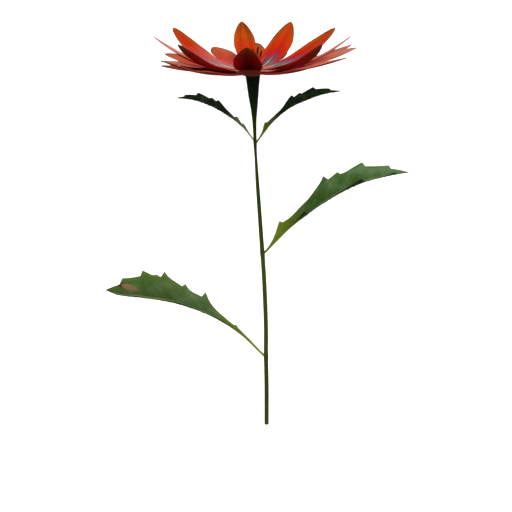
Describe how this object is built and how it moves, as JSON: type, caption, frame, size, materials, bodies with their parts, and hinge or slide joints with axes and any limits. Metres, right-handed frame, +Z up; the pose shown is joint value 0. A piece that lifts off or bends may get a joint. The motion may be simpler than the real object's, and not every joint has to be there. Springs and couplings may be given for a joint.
{
  "type": "cut flower with a leafy stem",
  "caption": "Cut daisy-like flower lying on its back: layered pointed ray petals round a tuft of florets, on a thin stem with toothed, folded leaves.",
  "frame": {"origin": "on the surface that the flower lies on, under the middle of its box", "axes": "+Y along the stem toward the head, +Z up off the surface, +X to the right as the flower is seen from above with its head away"},
  "size_m": [0.1812, 0.2476, 0.101],
  "materials": {
    "stem": "matte, finely ribbed and hairy",
    "leaf": "matte, finely veined",
    "petal": "velvety satin",
    "floret": "matte"
  },
  "bodies": {
    "root": {"stem": "stem", "leaf_lower_left": "leaf", "leaf_lower_right": "leaf", "leaf_upper_left": "leaf", "leaf_upper_right": "leaf", "ray_petals": "petal", "disc_florets": "floret"}
  },
  "joints": []
}
